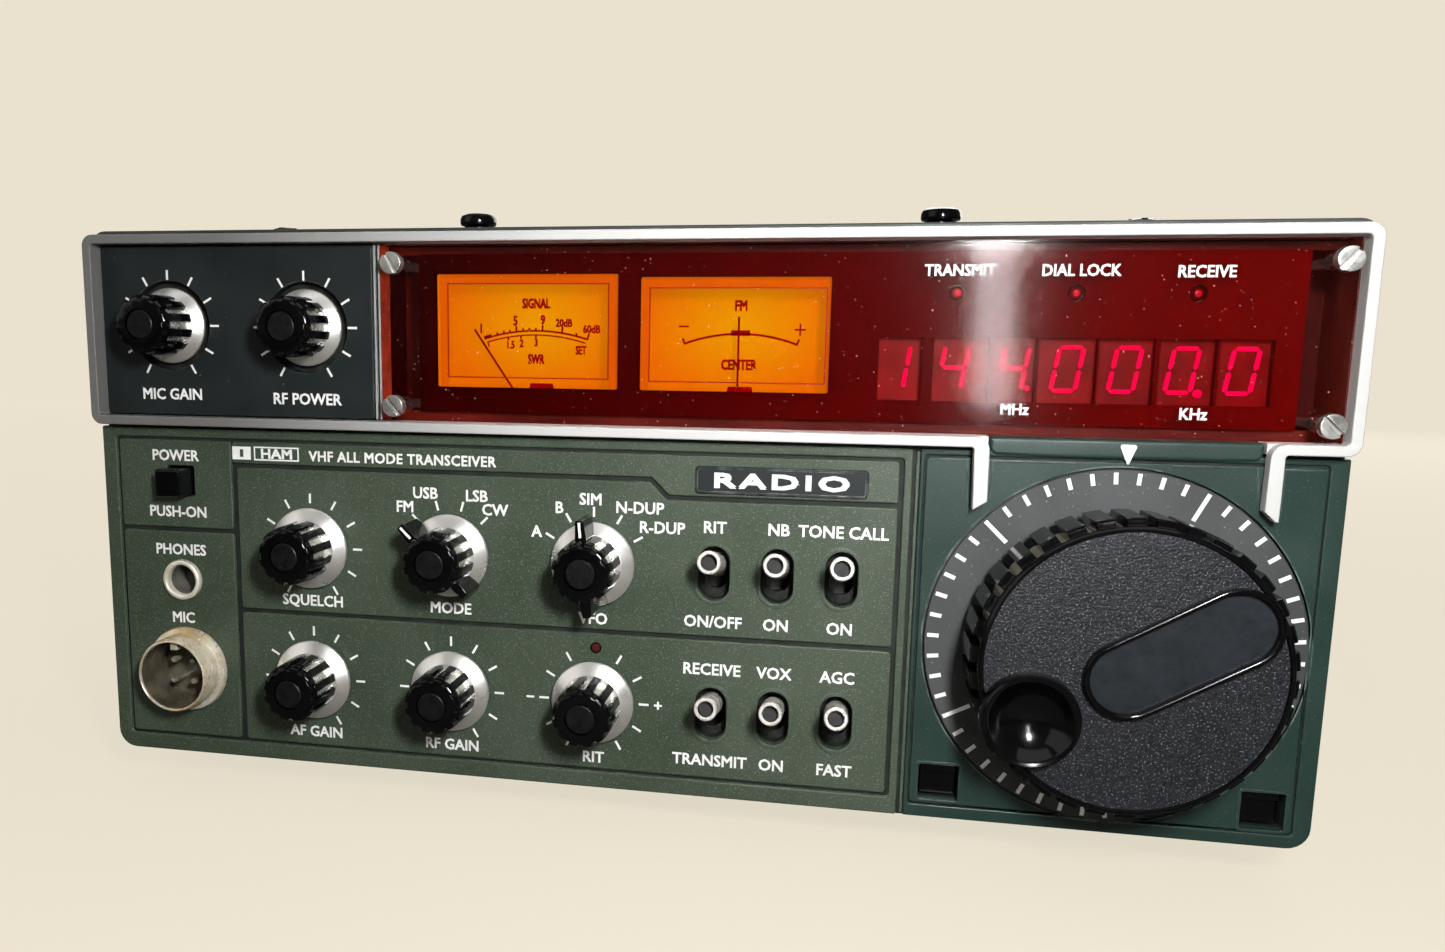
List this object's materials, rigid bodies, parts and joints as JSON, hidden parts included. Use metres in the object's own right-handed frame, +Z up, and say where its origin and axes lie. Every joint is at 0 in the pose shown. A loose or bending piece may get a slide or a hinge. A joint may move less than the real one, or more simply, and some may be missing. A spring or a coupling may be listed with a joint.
{
  "type": "radio transceiver",
  "caption": "Desktop VHF transceiver: dark green front with ribbed knobs, tubular toggles and a large toothed tuning dial under a silver-framed red window with meters and digits.",
  "frame": {"origin": "centre of the whole box in plan, at the height of the surface the feet stand on", "axes": "+X to the right seen from the front, +Y from the front panel into the depth, +Z up"},
  "size_m": [0.2416, 0.2798, 0.1301],
  "materials": {
    "panel_green": "satin dark green-grey paint with engraved lines and white legends",
    "satin_silver": "satin silver trim",
    "toggle_metal": "plated steel levers",
    "knob_black": "moulded gloss black plastic over silver skirts",
    "dial_black": "leather-grained black face with glossy rim, cup and bar border",
    "dial_ring": "matte grey scale ring with white marks",
    "gain_panel_black": "matte blue-black paint",
    "red_window": "clear red acrylic",
    "cover_grey": "fine textured dark grey paint",
    "heatsink_black": "black anodised fins",
    "steel": "zinc-plated steel",
    "shield_tin": "bright tinned can",
    "tarnished_plating": "tarnished silver plating",
    "meter_face": "orange back-lit scale",
    "needle_black": "dark needle",
    "circuit_board": "green lacquered board",
    "speaker_black": "black paper cone and basket",
    "socket_black": "moulded black plastic",
    "foot_rubber": "matte black rubber"
  },
  "bodies": {
    "radio": {"front_panel": "panel_green", "bezel_frame": "satin_silver", "phones_jack": "satin_silver", "gain_panel": "gain_panel_black", "display_mask": "gain_panel_black", "display_window": "red_window", "top_cover": "cover_grey", "bottom_cover": "cover_grey", "rear_panel": "cover_grey", "rear_heatsink": "heatsink_black", "chassis": "steel", "window_screw_1": "steel", "window_screw_2": "steel", "window_screw_3": "steel", "window_screw_4": "steel", "gain_pot_bank": "steel", "control_bank": "steel", "toggle_bank": "steel", "dial_bushing": "steel", "power_transformer": "steel", "pll_box": "shield_tin", "mic_socket": "tarnished_plating", "antenna_connector": "tarnished_plating", "signal_meter": "meter_face", "centre_meter": "meter_face", "main_board": "circuit_board", "display_board": "circuit_board", "speaker": "speaker_black", "power_socket": "socket_black", "fuse_holder": "socket_black", "front_left_foot": "foot_rubber", "front_right_foot": "foot_rubber", "rear_left_foot": "foot_rubber", "rear_right_foot": "foot_rubber"},
    "dial": {"main_dial": "dial_black", "dial_ring": "dial_ring", "dial_shaft": "steel"},
    "squelch_knob": {"squelch_knob": "knob_black"},
    "mode_knob": {"mode_knob": "knob_black"},
    "vfo_knob": {"vfo_knob": "knob_black"},
    "af_gain_knob": {"af_gain_knob": "knob_black"},
    "rf_gain_knob": {"rf_gain_knob": "knob_black"},
    "rit_knob": {"rit_knob": "knob_black"},
    "mic_gain_knob": {"mic_gain_knob": "knob_black"},
    "rf_power_knob": {"rf_power_knob": "knob_black"},
    "rit_lever": {"rit_toggle": "toggle_metal"},
    "noise_blanker_lever": {"noise_blanker_toggle": "toggle_metal"},
    "tone_call_lever": {"tone_call_toggle": "toggle_metal"},
    "transmit_lever": {"transmit_toggle": "toggle_metal"},
    "vox_lever": {"vox_toggle": "toggle_metal"},
    "agc_lever": {"agc_toggle": "toggle_metal"},
    "power_button": {"power_button": "knob_black"},
    "left_push_button": {"left_push_button": "knob_black"},
    "right_push_button": {"right_push_button": "knob_black"},
    "signal_needle": {"signal_needle": "needle_black"},
    "centre_needle": {"centre_needle": "needle_black"},
    "hatch": {"access_hatch": "cover_grey"},
    "left_plunger": {"left_hatch_plunger": "knob_black"},
    "right_plunger": {"right_hatch_plunger": "knob_black"}
  },
  "joints": [
    {"name": "dial_turn", "type": "hinge", "parent": "radio", "child": "dial", "pos_m": [0.0841, -0.12125, 0.0444], "axis": [0, 1, 0], "continuous": true},
    {"name": "squelch_turn", "type": "hinge", "parent": "radio", "child": "squelch_knob", "pos_m": [-0.073, -0.12125, 0.056], "axis": [0, 1, 0], "range_deg": [-150, 150]},
    {"name": "mode_turn", "type": "hinge", "parent": "radio", "child": "mode_knob", "pos_m": [-0.0426, -0.12125, 0.0559], "axis": [0, 1, 0], "range_deg": [0, 90]},
    {"name": "vfo_turn", "type": "hinge", "parent": "radio", "child": "vfo_knob", "pos_m": [-0.0127, -0.12125, 0.0556], "axis": [0, 1, 0], "range_deg": [-60, 60]},
    {"name": "af_gain_turn", "type": "hinge", "parent": "radio", "child": "af_gain_knob", "pos_m": [-0.073, -0.12125, 0.0278], "axis": [0, 1, 0], "range_deg": [-150, 150]},
    {"name": "rf_gain_turn", "type": "hinge", "parent": "radio", "child": "rf_gain_knob", "pos_m": [-0.0426, -0.12125, 0.0275], "axis": [0, 1, 0], "range_deg": [-150, 150]},
    {"name": "rit_turn", "type": "hinge", "parent": "radio", "child": "rit_knob", "pos_m": [-0.0125, -0.12125, 0.0273], "axis": [0, 1, 0], "range_deg": [-150, 150]},
    {"name": "mic_gain_turn", "type": "hinge", "parent": "radio", "child": "mic_gain_knob", "pos_m": [-0.1034, -0.12125, 0.1014], "axis": [0, 1, 0], "range_deg": [-150, 150]},
    {"name": "rf_power_turn", "type": "hinge", "parent": "radio", "child": "rf_power_knob", "pos_m": [-0.073, -0.12125, 0.1012], "axis": [0, 1, 0], "range_deg": [-150, 150]},
    {"name": "rit_switch", "type": "hinge", "parent": "radio", "child": "rit_lever", "pos_m": [0.0112, -0.11325, 0.0547], "axis": [1, 0, 0], "range_deg": [0, 20], "stiffness_Nm_per_rad": 0.02},
    {"name": "noise_blanker_switch", "type": "hinge", "parent": "radio", "child": "noise_blanker_lever", "pos_m": [0.0234, -0.11325, 0.0547], "axis": [1, 0, 0], "range_deg": [0, 20]},
    {"name": "tone_call_switch", "type": "hinge", "parent": "radio", "child": "tone_call_lever", "pos_m": [0.0355, -0.11325, 0.0547], "axis": [1, 0, 0], "range_deg": [0, 20], "stiffness_Nm_per_rad": 0.02},
    {"name": "transmit_switch", "type": "hinge", "parent": "radio", "child": "transmit_lever", "pos_m": [0.0112, -0.11325, 0.0264], "axis": [1, 0, 0], "range_deg": [0, 20]},
    {"name": "vox_switch", "type": "hinge", "parent": "radio", "child": "vox_lever", "pos_m": [0.0234, -0.11325, 0.0264], "axis": [1, 0, 0], "range_deg": [0, 20]},
    {"name": "agc_switch", "type": "hinge", "parent": "radio", "child": "agc_lever", "pos_m": [0.0355, -0.11325, 0.0264], "axis": [1, 0, 0], "range_deg": [0, 20]},
    {"name": "power_push", "type": "slide", "parent": "radio", "child": "power_button", "axis": [0, 1, 0], "range_m": [0, 0.003], "stiffness_N_per_m": 200},
    {"name": "left_button_push", "type": "slide", "parent": "radio", "child": "left_push_button", "axis": [0, 1, 0], "range_m": [0, 0.002], "stiffness_N_per_m": 200},
    {"name": "right_button_push", "type": "slide", "parent": "radio", "child": "right_push_button", "axis": [0, 1, 0], "range_m": [0, 0.002], "stiffness_N_per_m": 200},
    {"name": "signal_needle_swing", "type": "hinge", "parent": "radio", "child": "signal_needle", "pos_m": [-0.02735, -0.11225, 0.0826], "axis": [0, 1, 0], "range_deg": [0, 68.4], "stiffness_Nm_per_rad": 0.00002},
    {"name": "centre_needle_swing", "type": "hinge", "parent": "radio", "child": "centre_needle", "pos_m": [0.01395, -0.11225, 0.0826], "axis": [0, 1, 0], "range_deg": [-34, 34], "stiffness_Nm_per_rad": 0.00002},
    {"name": "hatch_lift", "type": "slide", "parent": "radio", "child": "hatch", "axis": [0, 0, 1], "range_m": [0, 0.03]},
    {"name": "left_plunger_pull", "type": "slide", "parent": "hatch", "child": "left_plunger", "axis": [0, 0, 1], "range_m": [0, 0.0025]},
    {"name": "right_plunger_pull", "type": "slide", "parent": "hatch", "child": "right_plunger", "axis": [0, 0, 1], "range_m": [0, 0.0025]}
  ]
}
